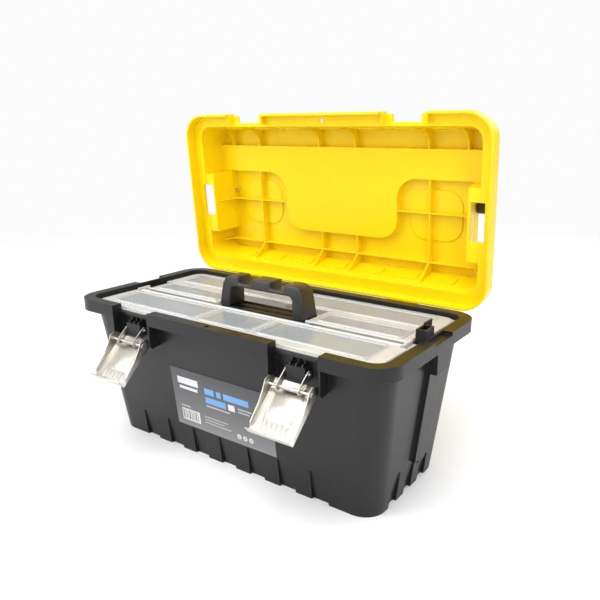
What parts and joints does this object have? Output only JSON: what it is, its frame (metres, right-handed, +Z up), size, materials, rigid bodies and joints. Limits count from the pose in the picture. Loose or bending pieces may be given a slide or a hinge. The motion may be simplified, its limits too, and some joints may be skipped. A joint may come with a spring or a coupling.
{
  "type": "toolbox with tray",
  "caption": "Portable hard plastic toolbox with a hinged lid, carry handle, metal over-centre latches and a lift-out organiser tray with covers and its own grip.",
  "frame": {"origin": "middle of the base, on the floor it stands on", "axes": "+X along the box to the right, +Y to the back where the hinges are, +Z up; the latches face -Y"},
  "size_m": [0.467, 0.3417, 0.417],
  "materials": {
    "black_plastic": "fine grained satin",
    "black_handle": "fine grained satin",
    "yellow_plastic": "satin, smooth inside",
    "label_film": "printed film",
    "steel_pin": "drawn wire",
    "nickel_plate": "bright nickel plate",
    "milky_plastic": "translucent natural polypropylene",
    "clear_cover": "frosted translucent sheet",
    "grey_grip": "satin"
  },
  "bodies": {
    "body": {"body_shell": "black_plastic", "front_label": "label_film", "hinge_pin_left": "steel_pin", "hinge_pin_right": "steel_pin", "latch_pin_left": "steel_pin", "latch_pin_right": "steel_pin"},
    "lid": {"lid_shell": "yellow_plastic", "carry_pin_left": "steel_pin", "carry_pin_right": "steel_pin"},
    "carry_handle": {"carry_handle": "black_handle"},
    "tray": {"tray_tub": "milky_plastic", "tray_channel": "black_plastic", "tray_handle": "grey_grip"},
    "front_cover": {"front_cover": "clear_cover"},
    "rear_cover": {"rear_cover": "clear_cover"},
    "latch_link_left": {"latch_link_left": "nickel_plate"},
    "latch_lever_left": {"latch_lever_left": "nickel_plate", "latch_rivet_left": "steel_pin"},
    "latch_link_right": {"latch_link_right": "nickel_plate"},
    "latch_lever_right": {"latch_lever_right": "nickel_plate", "latch_rivet_right": "steel_pin"}
  },
  "joints": [
    {"name": "lid_hinge", "type": "hinge", "parent": "body", "child": "lid", "pos_m": [0, 0.126, 0.174], "axis": [-1, 0, 0], "range_deg": [-85, 0]},
    {"name": "carry_handle_hinge", "type": "hinge", "parent": "lid", "child": "carry_handle", "pos_m": [0, 0.16881, 0.30423], "axis": [-1, 0, 0], "range_deg": [0, 95]},
    {"name": "tray_lift", "type": "slide", "parent": "body", "child": "tray", "axis": [0, 0, 1], "range_m": [0, 0.25]},
    {"name": "front_cover_hinge", "type": "hinge", "parent": "tray", "child": "front_cover", "pos_m": [0, -0.026, 0.1812], "axis": [-1, 0, 0], "range_deg": [0, 90]},
    {"name": "rear_cover_hinge", "type": "hinge", "parent": "tray", "child": "rear_cover", "pos_m": [0, -0.014, 0.1812], "axis": [1, 0, 0], "range_deg": [0, 90]},
    {"name": "latch_link_left_hinge", "type": "hinge", "parent": "body", "child": "latch_link_left", "pos_m": [-0.1225, -0.1025, 0.1595], "axis": [-1, 0, 0], "range_deg": [-40, 0]},
    {"name": "latch_lever_left_hinge", "type": "hinge", "parent": "latch_link_left", "child": "latch_lever_left", "pos_m": [-0.1225, -0.11782, 0.14664], "axis": [1, 0, 0], "range_deg": [-172.7, 0]},
    {"name": "latch_link_right_hinge", "type": "hinge", "parent": "body", "child": "latch_link_right", "pos_m": [0.1225, -0.1025, 0.1595], "axis": [-1, 0, 0], "range_deg": [-40, 0]},
    {"name": "latch_lever_right_hinge", "type": "hinge", "parent": "latch_link_right", "child": "latch_lever_right", "pos_m": [0.1225, -0.11782, 0.14664], "axis": [1, 0, 0], "range_deg": [-172.7, 0]}
  ],
  "couplings": [
    {"joint": "latch_link_left_hinge", "follows": "latch_lever_left_hinge", "ratio": 0.2316},
    {"joint": "latch_link_right_hinge", "follows": "latch_lever_right_hinge", "ratio": 0.2316}
  ]
}
